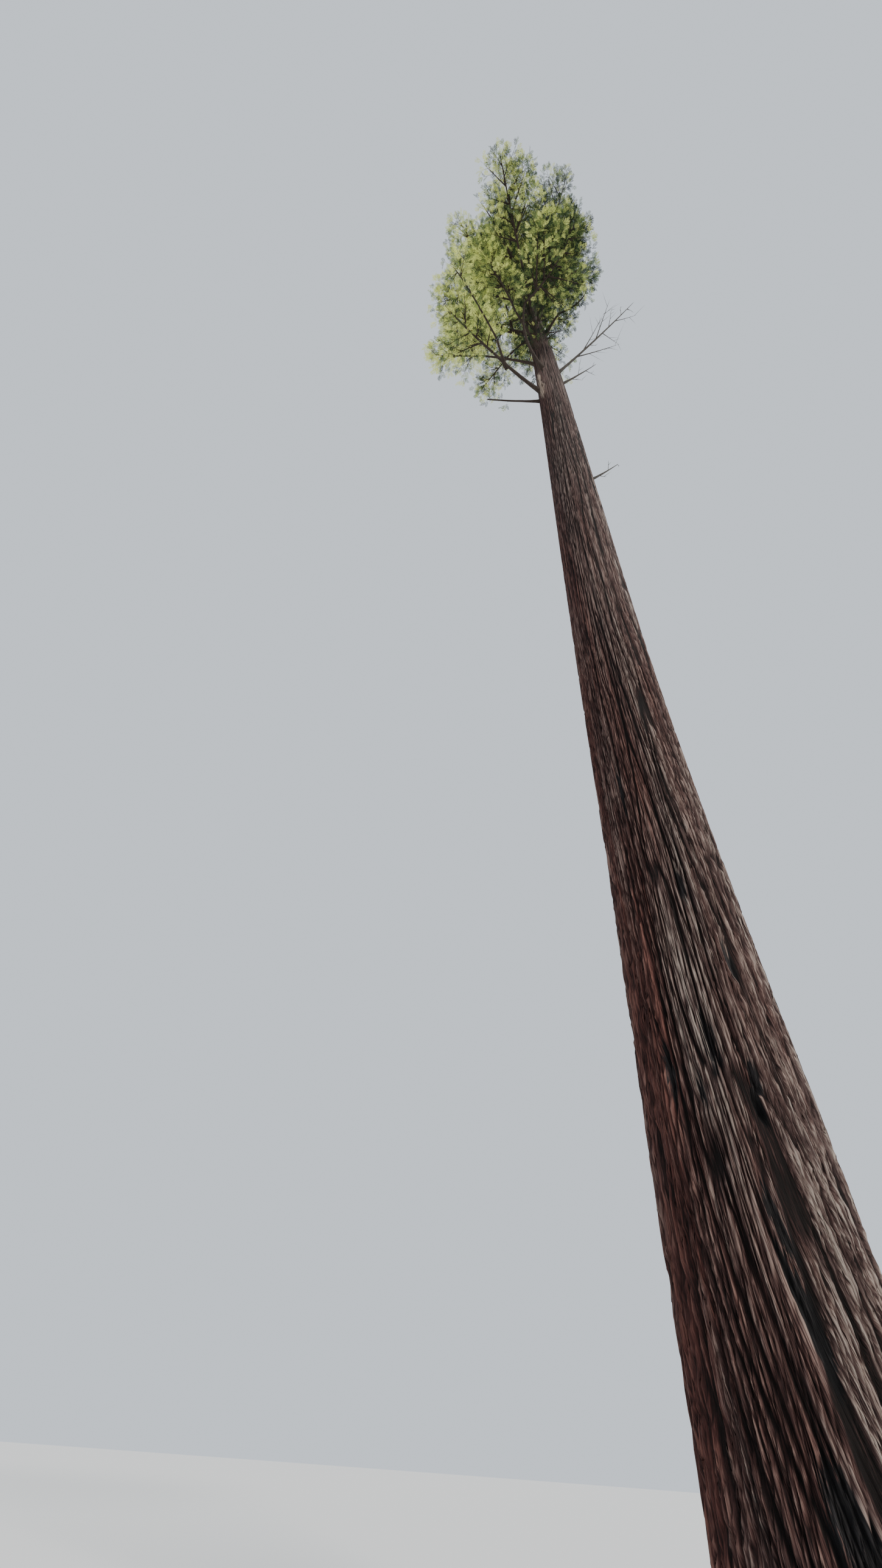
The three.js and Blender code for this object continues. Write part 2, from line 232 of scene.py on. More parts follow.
# How finely, and how many times over, a limb's curve is fitted.
FIT_SAMPLES = 200
FIT_ROUNDS = 6
# Points nearer the centre line than this share of the usual distance are the limb's end face.
END_FACE = 0.4

# Bare branches of the dead limbs, and their broken twigs. Pairs are a mean and a spread, a least and
# a most, or a radius at the root and at the tip. A branch is as long as a share of what is left of its
# limb, which for this ends a little past its tip, and its radius is told as the living shoots' are.
DEAD_TIP = 0.004
DEAD_BRANCH = {
    "from": 0.22, "to": 0.97, "gap": 0.2, "angle": (42, 12), "tilt": (20, 35), "share": 0.55, "end": 1.15,
    "lengths": (0.5, 1.3), "droop": (-0.35, 0.2), "steps": 5, "radius": (0.011, 0.004, 0.0025), "sides": 5,
}
DEAD_TWIG = {
    "gap": 0.16, "bare": 0.2, "angle": (44, 14), "tilt": (0, 40), "reach": (0.15, 0.42), "added": 0.3,
    "droop": (-0.2, 0.3), "steps": 2, "radius": (0.004, 0.0015), "sides": 4,
}

# Shoots of the foliage, from the boughs out: the gap between them, the share of their parent that
# stays bare, their angle to it and their tilt, and how far their light wanders. A radius is a share of
# the length, what is added to it at the root, and the radius at the tip. Twigs are of two browns.
SIDE_SHOOT = {
    "gap": 0.20, "bare": 0.04, "angle": 58, "droop": 0.26, "varies": (0.5, 1.5),
    "radius": (0.018, 0.003, 0.002), "sides": 5, "steps": 5, "light": 0.13,
}
TWIG = {
    "gap": 0.108, "bare": 0.10, "angle": 50, "tilt": 0, "droop": 0.34, "varies": (0.6, 1.4),
    "radius": (0.012, 0.0015, 0.001), "sides": 3, "steps": 2, "light": 0.27, "browns": 2,
}
SPRAY = {"gap": 0.078, "bare": 0.15, "angle": 42, "tilt": -8, "light": 0.34}
# How far angles and tilts wander and gaps vary, how much of a gap comes before the first shoot, and the
# share of its parent past which none stands.
ANGLE_WANDER = 9
TILT_WANDER = 28
GAP_VARIES = (0.8, 1.2)
FIRST_GAP = (0.2, 0.8)
LAST_PLACE = 0.985
# A way counts as straight up where its sideways part is shorter than this.
UPRIGHT = 0.05
# A mass's inner end is the middle of so many of its corners, or of one in so many if that is more.
FEWEST_INNER = 4
ONE_IN_INNER = 8
# A bough inside its mass: its sides, steps and radius at its tip, its radius at the trunk as a share
# of its mass's length, how deep in the trunk it starts as a share of the trunk's radius, how much
# closer to it, in degrees, its outermost side shoots are, and how many patterns of lumps it picks from.
AXIS_SIDES = 9
AXIS_STEPS = 18
AXIS_TIP_RADIUS = 0.006
AXIS_RADIUS = 0.024
AXIS_START = 0.5
AXIS_CLOSES = 14
AXIS_PATTERNS = 9999
# Degrees by which side shoots rise over or hang under their bough: a mean and a spread for each shoot
# of a place. Open boughs carry none underneath, so that they show from below.
CLOSE_TILTS = [(2, 24), (64, 20), (-62, 20)]
OPEN_TILTS = [(14, 14), (48, 14), (80, 14)]
# How far an open bough runs under the middle of its mass, as a share of the mass's height.
OPEN_SINK = 0.16
# The shortest and the longest of side shoots and of twigs. A twig is as long as a share of its side
# shoot, which falls to the shoot's end by a power, and varies.
SIDE_LENGTHS = (0.16, 1.9)
TWIG_LENGTHS = (0.12, 0.62)
TWIG_SHARE = 0.52
TWIG_TAPER = 0.6
TWIG_VARIES = (0.75, 1.1)
# How much of the way to its mass's surface a side shoot takes, and the room left for twigs and sprays
# between its end, or a bough's, and that surface.
ROOM_SHARE = (0.78, 1.02)
SIDE_ROOM = 0.20
TIP_ROOM = 0.34

# Sprays: their length, how far they roll about their stem, how far a twig's last one starts inside it,
# how they bend down, how many shapes are dealt out, and their stem's width and where it is widest.
SPRAY_LENGTH = (0.12, 0.19)
SPRAY_ROLL = 42
SPRAY_SUNK = 0.03
SPRAY_BEND = 0.16
SPRAY_SHAPES = 6
STEM_WIDTH = 0.022
STEM_WIDEST = 0.3
# Pairs of needles, how long and wide a needle is as a share of the spray and of itself, its angle to
# the stem at the spray's root and tip, its fold, and where it is widest.
NEEDLE_PAIRS = 6
NEEDLE_LENGTH = 0.38
NEEDLE_WIDTH = 0.21
NEEDLE_ANGLES = (64, 30)
NEEDLE_FOLD = 0.12
NEEDLE_WIDEST = 0.4
# Where in its part of the spray a pair stands. A needle has one share of its length everywhere, and
# another by the height of half a wave: where in that the spray starts, and how much of it it covers.
NEEDLE_PLACE = 0.6
NEEDLE_SWELL = (0.62, 0.62)
SWELL_STRETCH = (0.12, 0.86)
# How a needle's length, lift, turn and place vary.
NEEDLE_VARIES = (0.85, 1.1)
NEEDLE_LIFT = (0.05, 0.08)
NEEDLE_TURNS = 5
NEEDLE_SHIFT = 0.02

# Shoots straight out of the trunk among the boughs: the height they start at, their gap, how steeply
# they climb and their length. The longer ones carry twigs of their own.
TRUNK_SHOOTS = [
    {"from": 22.6, "gap": 0.055, "climb": (-0.1, 0.6), "reach": (0.2, 0.6), "carries_twigs": False},
    {"from": 24.5, "gap": 0.12, "climb": (0.1, 0.7), "reach": (0.55, 1.0), "carries_twigs": True},
]
TRUNK_SHOOT_GAPS = (0.6, 1.4)
TRUNK_SHOOT_ROOT = 0.9
# The few small twigs of the bare limb under the crown, on its outer half.
LOW_LIMB = {"gap": 0.16, "angle": 48, "tilt": 25, "length": 0.13, "shares": (0.5, 0.75, 1.0)}
# The leader: short shoots that spiral up the trunk's last stretch. They end so far below its tip, and
# the topmost spray starts a little below it.
LEADER = {
    "from": 37.3, "gap": 0.022, "climb": 0.40, "reach": (0.85, 0.24), "varies": (0.8, 1.1),
    "ends": 0.22, "tip": 0.1,
}
GOLDEN_TURN = math.pi * (3 - math.sqrt(5))

# Joined pieces stay under this many triangles, and the crown's limbs are cut in two at this height.
MOST_TRIANGLES = 190000
CROWN_SPLIT = 30.0

# Foliage greens, from the shaded inside of the crown to its sunlit outside, and browns of its twigs.
GREENS = [
    (0.013, 0.024, 0.014),
    (0.034, 0.061, 0.028),
    (0.082, 0.127, 0.050),
    (0.176, 0.242, 0.084),
    (0.420, 0.505, 0.145),
    (0.870, 0.925, 0.290),
]
TWIG_BROWNS = [(0.050, 0.031, 0.021), (0.082, 0.050, 0.030)]
FOLIAGE_ROUGHNESS = 0.70
TWIG_ROUGHNESS = 0.85
FOLIAGE_SPECULAR = 0.08
# How a spray's green follows its place: a middle green, more light for each metre out and to the left
# and for the top of a mass, and less for each metre up in the crown's narrow top. Shoots grow lighter
# to their ends.
LIGHT = {"middle": 0.22, "up": 0.12, "out": 0.100, "left": 0.140, "high": -0.040}
HIGH_FROM = 30.0
LIGHT_OF_TRUNK_SHOOTS = 0.2
LIGHT_OF_LOW_LIMB = 0.3
LIGHT_OF_LEADER = 0.08
SHOOT_TIP_LIGHT = 0.16
TWIG_TIP_LIGHT = 0.05

# Seeds of the random draws. Limbs and masses add their number to theirs.
SEEDS = {
    "dead_limbs": 100, "dead_branches": 500, "boughs": 1000, "leader": 77, "low_limb": 78, "trunk_shoots": 79,
    "sprays": 5,
}


def link(thing):
    bpy.context.scene.collection.objects.link(thing)
    return thing


def mesh_points(node):
    """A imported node's corners, each place once."""
    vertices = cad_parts[node].data.vertices
    points = np.empty(len(vertices) * 3)
    vertices.foreach_get("co", points)
    return np.unique(points.reshape(-1, 3).round(MERGE_DIGITS), axis=0)


def smooth_between(places, knots, values):
    """Values at places between knots, on a curve without corners."""
    slopes = np.gradient(values, knots, axis=0)
    span = np.clip(np.searchsorted(knots, places, side="right") - 1, 0, len(knots) - 2)
    width = (knots[span + 1] - knots[span])[:, None]
    t = np.clip((places - knots[span])[:, None] / width, 0, 1)
    return (
        values[span] * (1 + 2 * t) * (1 - t) ** 2
        + values[span + 1] * t * t * (3 - 2 * t)
        + slopes[span] * width * t * (1 - t) ** 2
        + slopes[span + 1] * width * t * t * (t - 1)
    )


class Trunk:
    """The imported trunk's centre line and outline, read from its rings."""

    def __init__(self):
        points = mesh_points("trunk")
        points = points[np.argsort(points[:, 2])]
        levels = np.split(points, np.flatnonzero(np.diff(points[:, 2]) > RING_SEPARATION) + 1)
        heights, centres, waves = [], [], []
        for level in levels:
            centre = level[:, :2].mean(axis=0)
            away = level[:, :2] - centre
            reach = np.hypot(*away.T)
            radii = np.zeros(TRUNK_SIDES)
            rim = reach > reach.max() / 2
            column = np.rint(np.arctan2(*away[rim].T[::-1]) / math.tau * TRUNK_SIDES).astype(int)
            radii[column % TRUNK_SIDES] = reach[rim]
            heights.append(level[:, 2].mean())
            centres.append(centre)
            waves.append(np.fft.rfft(radii)[: OUTLINE_WAVES + 1] / TRUNK_SIDES)
        self.heights = np.array(heights)
        self.centres = np.array(centres)
        self.waves = np.array(waves)
        self.top = self.heights[-1]

    def centre(self, heights):
        """The centre line's x and y at each height."""
        return smooth_between(np.atleast_1d(heights), self.heights, self.centres)

    def radii(self, heights, turns):
        """The radius at each height, by turn: one row for each height."""
        waves = smooth_between(np.atleast_1d(heights), self.heights, self.waves)
        order = np.arange(OUTLINE_WAVES + 1)
        weights = np.where(order, 2, 1)
        spin = np.exp(1j * np.outer(order, turns))
        return np.maximum((waves * weights @ spin).real, 0)

    def axis_point(self, height):
        x, y = self.centre(height)[0]
        return Vector((x, y, height))

    def radius(self, height):
        return float(self.radii(height, [0.0])[0, 0])


trunk = Trunk()


def fade(t):
    return t * t * t * (t * (6 * t - 15) + 10)


def smooth_step(value):
    value = np.clip(value, 0, 1)
    return value * value * (3 - 2 * value)


def between(pair, share):
    """The value at a share of the way from a pair's first to its second."""
    return pair[0] + (pair[1] - pair[0]) * share


def facing(around, turn):
    """How much places round the trunk face a turn, from 0 to 1."""
    return 0.5 + 0.5 * np.cos(around * math.tau - turn)


def thinning(height):
    """From 0 at the ground to 1 where the bark is thinnest."""
    return np.clip(height / BARK_THINS_AT, 0, 1)


def lengthening(height):
    """A height as the bark's cells count it: they are longer the higher they are."""
    return LENGTHENS_AT * np.log1p(height / LENGTHENS_AT)


def stagger(seed, around, cells):
    """How far a layer's cells are moved up, from 0 to 1: a smooth line that closes on itself."""
    knots = max(int(cells / STAGGER_CELLS), 3)
    heights = np.random.default_rng(seed + STAGGER_SEED).uniform(0, 1, knots)
    x = around * knots
    column = np.floor(x).astype(int)
    blend = fade(x - column)
    return heights[column % knots] * (1 - blend) + heights[(column + 1) % knots] * blend


def bark_noise(seed, around, height, cells, cell_height, lean=180):
    """Smooth noise from about -1 to 1 over the unrolled trunk, which closes on itself round it.

    around runs from 0 to 1. A small lean in degrees makes the lines where it is nought run upwards.
    """
    rng = np.random.default_rng(seed)
    rows = int(lengthening(trunk.top) / cell_height + 2 * STAGGER) + 4
    angle = np.radians(rng.uniform(-lean, lean, (rows, cells)))
    angle += math.pi * rng.integers(0, 2, (rows, cells))
    x = around * cells
    y = lengthening(height) / cell_height + 1 + STAGGER * stagger(seed, around, cells)
    column = np.floor(x).astype(int)
    row = np.floor(y).astype(int)
    part_x = x - column
    part_y = y - row

    def corner(right, up):
        a = angle[np.clip(row + up, 0, rows - 1), (column + right) % cells]
        return np.cos(a) * (part_x - right) + np.sin(a) * (part_y - up)

    blend_x = fade(part_x)
    lower = corner(0, 0) * (1 - blend_x) + corner(1, 0) * blend_x
    upper = corner(0, 1) * (1 - blend_x) + corner(1, 1) * blend_x
    return 2 * (lower + (upper - lower) * fade(part_y))


def layer_noise(layer, around, height):
    """The noise of a layer that is told by its seed and its cells."""
    return bark_noise(layer["seed"], around, height, layer["cells"], layer["height"], layer.get("lean", 180))


def grain(around, height):
    """Where a place lies across the furrows: they bend slowly, and near the foot cross to one side."""
    climb = GRAIN_HEIGHT * np.tanh(height / GRAIN_HEIGHT)
    bend = layer_noise(BENDS, around, height) * BENDS["size"]
    return around + GRAIN_LEAN * facing(around, GRAIN_TURN) * climb / math.tau + bend


def marks_at(marks, across, height):
    """Where marks are, from 0 outside them through 1 at their edge to 2, and how deep they make the bark.

    They follow its grain.
    """
    within, dent = np.zeros((2, *across.shape))
    for mark in marks:
        place = grain(np.array([[mark.turn / 360]]), np.array([[mark.height]]))
        turned = (across * math.tau - place * math.tau + math.pi) % math.tau - math.pi
        inside = 1 - np.hypot(np.degrees(turned) / mark.wide, (height - mark.height) / mark.tall)
        dent += smooth_step(inside + DENT_REACH) * mark.depth
        within = np.maximum(within, 1 + inside)
    return within, dent


def furrow_set(seed, across, height, layer):
    """From 0 in a set's furrows to 1 between them."""
    wander = bark_noise(seed, across, height, layer["cells"], layer["height"])
    opening = bark_noise(seed + 1, across, height, 2 * layer["cells"], layer["height"] * OPENING_HEIGHT)
    place = across * layer["count"] + layer["wander"] * wander
    from_furrow = 1 - np.abs(2 * (place % 1) - 1)
    width = layer["width"] * np.clip(1 + layer["varies"] * opening, *FURROW_OPENING)
    width = width * (1 - FURROW_NARROWS * thinning(height))
    slope = (np.roll(wander, -1, axis=1) - np.roll(wander, 1, axis=1)) * wander.shape[1] / 2
    spread = np.abs(1 + slope * layer["wander"] / layer["count"])
    return smooth_step(from_furrow / (width * np.clip(spread, FURROW_SPREAD, 1)))


def carried(height, count):
    """How much of so many furrows the bark's columns carry at a height, from 0 to 1."""
    knots = [(0.0, BARK_BANDS[0]["columns"])]
    for band in BARK_BANDS[1:]:
        knots += [(band["from"] - FADES_OVER, knots[-1][1]), (band["from"], band["columns"])]
    columns = np.interp(height, *zip(*knots))
    return np.clip(columns / count - FEWEST_COLUMNS, 0, 1)


def ridges(across, height):
    """The bark's relief: 0 deep in its furrows, and up to 1 on its ridges."""
    relief = np.ones_like(across)
    for number, layer in enumerate(FURROWS):
        share = layer["share"] * carried(height, layer["count"])
        relief *= 1 - share * (1 - furrow_set(2 * number, across, height, layer))
    flakes = np.abs(layer_noise(FLAKES, across, height)) / FLAKES["width"]
    share = FLAKES["share"] * carried(height, FLAKES["cells"])
    return relief * (1 - share * (1 - smooth_step(flakes)))


def bark_at(around, height):
    """The bark's height over the trunk's outline, its place across the grain, and what colours it."""
    across = grain(around, height)
    relief = ridges(across, height)
    thin = thinning(height)
    depth = np.minimum(between(BARK_DEPTH, thin), BARK_SHARE * trunk.radii(height[:, 0], [0.0]))
    flutes = layer_noise(FLUTES, across, height) * FLUTES["depth"] * np.clip(1 - height / FLUTES["end"], 0, 1)
    burnt, dent = marks_at(BURNT, across, height)
    callus, swelling = marks_at(CALLUSES, across, height)
    proud = (relief - MEAN_RELIEF) * depth + flutes - dent - swelling
    weathered = WEATHERED["least"] + WEATHERED["side"] * facing(around, GREY_TURN) ** 2
    weathered = weathered + WEATHERED["patch"] * layer_noise(WEATHERING, around, height)
    weathered = weathered + WEATHERED["height"] * thin
    # Painted shade near the ground lowers the relief that the colours follow. High up the relief is lowered
    # where only the widest furrows are carried.
    relief = relief - FOOT_SHADE * 0.5 ** (height / FOOT_SHADE_HEIGHT) ** 2 - HIGH_SHADE * thin**2
    colours = {"relief": relief, "weathered": np.clip(weathered, 0, 1), "burnt": burnt, "callus": callus}
    return proud, across, colours


def new_mesh(name, vertices, faces, smooth=True):
    """A mesh object from arrays. faces is a list of arrays of faces, and its quads are shaded smooth."""
    sizes = np.concatenate([np.full(len(group), group.shape[1]) for group in faces])
    corners = np.concatenate([group.ravel() for group in faces])
    mesh = bpy.data.meshes.new(name)
    mesh.vertices.add(len(vertices))
    mesh.vertices.foreach_set("co", np.asarray(vertices, np.float32).ravel())
    mesh.loops.add(len(corners))
    mesh.loops.foreach_set("vertex_index", corners.astype(np.int32))
    mesh.polygons.add(len(sizes))
    starts = np.concatenate([[0], np.cumsum(sizes)[:-1]])
    mesh.polygons.foreach_set("loop_start", starts.astype(np.int32))
    mesh.polygons.foreach_set("use_smooth", (sizes == 4) & smooth)
    mesh.update(calc_edges=True)
    mesh.validate()
    return link(bpy.data.objects.new(name, mesh))


def set_bake_map(thing, coordinates):
    """Lays out the map through which the piece's colours are baked, a pair for each face corner."""
    layer = thing.data.uv_layers.new(name="OFBake")
    layer.data.foreach_set("uv", np.asarray(coordinates, np.float32).ravel())


def set_values(thing, name, kind, field, values):
    """Stores values for the mesh's corners. Those that the values don't reach get noughts."""
    each = values.size // values.shape[0] // values.shape[1]
    padded = np.zeros(len(thing.data.vertices) * each, np.float32)
    padded[: values.size] = values.ravel()
    thing.data.attributes.new(name, kind, "POINT").data.foreach_set(field, padded)


def finish_piece(thing, materials, nodes):
    """Gives a piece its materials, hangs it on the body, and hides the imported nodes it stands for."""
    for material in materials:
        thing.data.materials.append(material)
    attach(thing, BODY)
    if nodes:
        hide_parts(*nodes)
    return thing


def on_circle(turns, radius=1.0):
    """Points on a circle round the origin, as pairs."""
    return np.stack([radius * np.cos(turns), radius * np.sin(turns)], axis=-1)


def around_ring(count):
    """The numbers of a ring's corners, and of the corner after each."""
    return np.arange(count), (np.arange(count) + 1) % count


def fan(middle, rim, other_rim):
    """Triangles from a middle corner to pairs of a rim's corners."""
    return np.stack([np.full(len(rim), middle), rim, other_rim], axis=-1)


def grid_quads(rows, columns):
    """Quads between rows of columns that close on themselves."""
    here, following = around_ring(columns)
    low = np.arange(rows - 1)[:, None] * columns
    quads = [low + here, low + following, low + following + columns, low + here + columns]
    return np.stack(quads, axis=-1).reshape(-1, 4)


def unrolled(columns, heights):
    """The map's pairs for a grid's quads, unrolled from side to side of the map, with rows at heights."""
    grid = np.stack(np.meshgrid(np.arange(columns + 1) / columns, heights), axis=-1)
    quads = [grid[:-1, :-1], grid[:-1, 1:], grid[1:, 1:], grid[1:, :-1]]
    return np.stack(quads, axis=2).reshape(-1, 2)


def coarsened(values):
    """Moves every second column of a band's top rows to between its neighbours, fully so in the last."""
    values = values.copy()
    blend = np.linspace(0, 1, COARSENED_ROWS + 1)[1:, None]
    even = values[-COARSENED_ROWS:, 0::2]
    between = (even + np.roll(even, -1, axis=1)) / 2
    values[-COARSENED_ROWS:, 1::2] += (between - values[-COARSENED_ROWS:, 1::2]) * blend
    return values


def closed_band(name, grid, ends):
    """A mesh of rings, closed by a face round each of two end points.

    The end faces have rims of their own, so that the bark is shaded evenly across the bands' joints.
    """
    rows, columns = grid.shape[:2]
    vertices = np.concatenate([grid.reshape(-1, 3), grid[0], grid[-1], ends])
    low, high, first, second = rows * columns + np.array([0, columns, 2 * columns, 2 * columns + 1])
    here, following = around_ring(columns)
    fans = [fan(first, low + following, low + here), fan(second, high + here, high + following)]
    return new_mesh(name, vertices, [grid_quads(rows, columns), *fans])


def bark_band(number, material):
    """One closed band of the trunk with its bark's relief."""
    band = BARK_BANDS[number]
    last = number + 1 == len(BARK_BANDS)
    high = trunk.top if last else BARK_BANDS[number + 1]["from"]
    columns = band["columns"]
    rows = int(round((high - band["from"]) / band["row"])) + 1
    heights = np.linspace(band["from"], high, rows)
    around = np.arange(columns) / columns
    grid_around = np.broadcast_to(around, (rows, columns))
    grid_height = np.repeat(heights[:, None], columns, 1)
    proud, across, colours = bark_at(grid_around, grid_height)
    if not last:  # the next band's ring has half as many corners
        proud = coarsened(proud)
        colours = {name: coarsened(values) for name, values in colours.items()}
    reach = np.maximum(trunk.radii(heights, around * math.tau) + proud, LEAST_RADIUS)
    centres = trunk.centre(heights)
    rings = centres[:, None] + reach[..., None] * on_circle(around * math.tau)
    grid = np.concatenate([rings, grid_height[..., None]], axis=-1)
    if not last:
        grid[-1, 1::2] = (grid[-1, 0::2] + np.roll(grid[-1, 0::2], -1, axis=0)) / 2
    ends = np.array([[*centres[0], heights[0]], [*centres[-1], heights[-1]]])
    thing = closed_band(band["name"], grid, ends)
    for name, values in colours.items():
        set_values(thing, name, "FLOAT", "value", values)
    rounds = on_circle(across * math.tau, GRAIN_RADIUS)
    along_grain = np.concatenate([rounds, lengthening(grid_height)[..., None]], axis=-1)
    set_values(thing, "along_grain", "FLOAT_VECTOR", "vector", along_grain)
    set_bake_map(thing, band_map(rows, columns))
    return finish_piece(thing, [material], ["trunk"])


def band_map(rows, columns):
    """Unrolls a band over the map, with its two end faces as small discs above it."""
    rim = on_circle(np.linspace(0, math.tau, columns + 1), CAP_DISC)
    middle = np.zeros((columns, 2))
    parts = [unrolled(columns, np.linspace(0, 1 - CAP_STRIP, rows))]
    for place, ring in zip(CAP_PLACES, ((rim[1:], rim[:-1]), (rim[:-1], rim[1:]))):
        cap = np.stack([middle, *ring], axis=1) + (place, 1 - CAP_STRIP / 2)
        parts.append(cap.reshape(-1, 2))
    return np.concatenate(parts)


class Tubes:
    """Tapering closed bars, gathered to be joined into one mesh."""

    def __init__(self):
        self.vertices, self.quads, self.fans, self.count = [], [], [], 0
        self.quad_slots, self.fan_slots, self.shapes = [], [], []

    def add(self, points, radii, sides, slot=0, lumps=1.0):
        """A bar through points with a radius at each, closed by a face at its root and a point at its tip."""
        points = np.asarray(points, float)
        ways = np.gradient(points, axis=0)
        ways /= np.linalg.norm(ways, axis=1, keepdims=True)
        across = np.cross(ways, RINGS_FACE)
        across /= np.linalg.norm(across, axis=1, keepdims=True)
        rings = len(points) - 1
        frames = np.stack([across, np.cross(across, ways)], axis=1)[:rings]
        reach = (np.asarray(radii)[:, None] * np.ones(sides) * lumps)[:rings, :, None]
        ring = points[:rings, None] + reach * (on_circle(np.arange(sides) / sides * math.tau) @ frames)
        self.vertices += [ring.reshape(-1, 3), points[:1], points[-1:]]
        root = self.count + rings * sides
        last = root - sides
        here, following = around_ring(sides)
        self.quads.append(self.count + grid_quads(rings, sides))
        self.fans.append(fan(root, self.count + following, self.count + here))
        self.fans.append(fan(root + 1, last + here, last + following))
        self.quad_slots.append(np.full(len(self.quads[-1]), slot))
        self.fan_slots.append(np.full(2 * sides, slot))
        self.shapes.append((rings, sides))
        self.count = root + 2

    def build(self, name, mapped=True):
        """The joined mesh. Its faces' slots are set, and its bake map where one is asked for."""
        quads, fans = np.concatenate(self.quads), np.concatenate(self.fans)
        thing = new_mesh(name, np.concatenate(self.vertices), [quads, fans])
        slots = np.concatenate(self.quad_slots + self.fan_slots).astype(np.int32)
        thing.data.polygons.foreach_set("material_index", slots)
        if mapped:
            set_bake_map(thing, self.bake_map())
        return thing

    def bake_map(self):
        """A square cell of the map for each bar: its side unrolled, and its two ends above that."""
        cells = math.ceil(math.sqrt(len(self.shapes)))
        room = (1 - 2 * CELL_MARGIN) / cells
        sides_parts, end_parts = [], []
        for number, (rings, sides) in enumerate(self.shapes):
            corner = (np.array([number % cells, number // cells]) + CELL_MARGIN) / cells
            sides_parts.append(unrolled(sides, np.arange(rings) / rings * CELL_SIDE) * room + corner)
            for low, high in CELL_ENDS:
                end = np.empty((sides, 3, 2))
                end[..., 0] = (np.arange(sides)[:, None] + (0.5, 1, 0)) / sides
                end[..., 1] = (low, high, high)
                end_parts.append(end.reshape(-1, 2) * room + corner)
        return np.concatenate(sides_parts + end_parts)


class Limb:
    """A packed limb's centre line and radius, fitted to its corners from the trunk outwards."""

    def __init__(self, node):
        points = mesh_points(node)
        middle = points.mean(axis=0)
        along = (points - middle) @ np.linalg.svd(points - middle)[2][0]
        ends = [points[along.argmin()], points[along.argmax()]]
        from_trunk = [np.linalg.norm(end[:2] - trunk.centre(end[2])[0]) for end in ends]
        if from_trunk[0] > from_trunk[1]:
            along = -along
        share = (along - along.min()) / np.ptp(along)
        sampled = np.linspace(0, 1, FIT_SAMPLES)
        for _ in range(FIT_ROUNDS):
            self.curve = np.polyfit(share, points, 2)
            away = np.linalg.norm(points[:, None] - self.at(sampled), axis=2)
            share = sampled[away.argmin(axis=1)]
        away = away.min(axis=1)
        self.length = float(np.linalg.norm(np.diff(self.at(sampled), axis=0), axis=1).sum())
        rim = away > END_FACE * np.median(away)
        self.taper = np.polyfit(share[rim], away[rim], 1)

    def at(self, share):
        share = np.asarray(share)[..., None]
        return self.curve[0] * share**2 + self.curve[1] * share + self.curve[2]

    def radius(self, share):
        return np.polyval(self.taper, share)

    def way(self):
        """The way the limb's outer end points."""
        return Vector(2 * self.curve[0] + self.curve[1]).normalized()


def with_neighbours(values):
    return values + np.roll(values, 1, 0) + np.roll(values, -1, 0)


def limb_lumps(seed, rings, sides):
    """Uneven swellings of a limb: long furrows along it and a few knots."""
    rng = np.random.default_rng(seed)
    ridge = with_neighbours(rng.normal(0, 1, sides)) / 3
    rough = rng.normal(0, 1, (rings, sides))
    for _ in range(2):
        rough = with_neighbours(rough) / ROUGH_PLACES
    knots = LIMB_KNOT * np.clip(rng.normal(0, 1, (rings, 1)) - KNOT_LIMIT, 0, 1)
    return 1 + LIMB_LUMP * (LIMB_RIDGE * ridge + LIMB_ROUGH * rough) + knots


def add_limb(tubes, limb, seed, end_radius=None):
    """A limb with a collar at the trunk and bark's unevenness. It runs on a little way into the trunk."""
    start = -LIMB_SUNK / limb.length
    rings = int(limb.length * (1 - start) / LIMB_STEP) + 3
    share = np.linspace(start, 1, rings)
    outside = np.clip(share, 0, 1)
    radii = limb.radius(outside) * (1 + COLLAR_SWELL * np.exp(-outside * limb.length / COLLAR_LENGTH))
    if end_radius is not None:
        radii = radii + (end_radius - radii[-1]) * outside**2
    tubes.add(limb.at(share), radii, LIMB_SIDES, lumps=limb_lumps(seed, rings, LIMB_SIDES))


class Mass:
    """A packed foliage mass: the room its shoots may fill, and its inner and outer ends."""

    def __init__(self, node):
        self.node = node
        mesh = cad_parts[node].data
        corners = [vertex.co for vertex in mesh.vertices]
        self.surface = BVHTree.FromPolygons(corners, [face.vertices for face in mesh.polygons])
        points = mesh_points(node)
        self.low, self.high = points[:, 2].min(), points[:, 2].max()
        self.middle = Vector(points.mean(axis=0))
        self.half = "low" if self.middle.z < CROWN_SPLIT else "high"
        from_axis = np.linalg.norm(points[:, :2] - trunk.centre(points[:, 2]), axis=1)
        count = max(FEWEST_INNER, len(points) // ONE_IN_INNER)
        nearest = points[np.argsort(from_axis)[:count]].mean(axis=0)
        self.inner = Vector(nearest)
        away = np.linalg.norm(points - nearest, axis=1)
        self.tip = Vector(points[away.argmax()])
        self.length = (self.tip - self.inner).length
        self.open = False

    def room(self, point, way):
        """How far it is from a point to the mass's surface, or nought outside it."""
        place, normal, _, distance = self.surface.ray_cast(point, way)
        if place is None or normal.dot(way) < 0:
            return 0.0
        return distance

    def daylight(self, point):
        """How much light reaches a place: more high up in the mass, far out and on the open side."""
        up = (point.z - self.low) / (self.high - self.low)
        out = (point - trunk.axis_point(min(point.z, trunk.top))).to_2d().length
        high = max(point.z - HIGH_FROM, 0)
        light = LIGHT["middle"] + LIGHT["up"] * up + LIGHT["out"] * out
        return light - LIGHT["left"] * point.x + LIGHT["high"] * high


def nearest_mass(masses, place):
    return min(masses, key=lambda mass: (mass.middle - place).length)


def curve_through(start, middle, end, steps):
    """Points on the quadratic curve from start to end that passes middle half way along."""
    bend = middle * 2 - (start + end) / 2
    shares = [step / steps for step in range(steps + 1)]
    return [start * (1 - t) ** 2 + bend * (2 * t * (1 - t)) + end * t * t for t in shares]


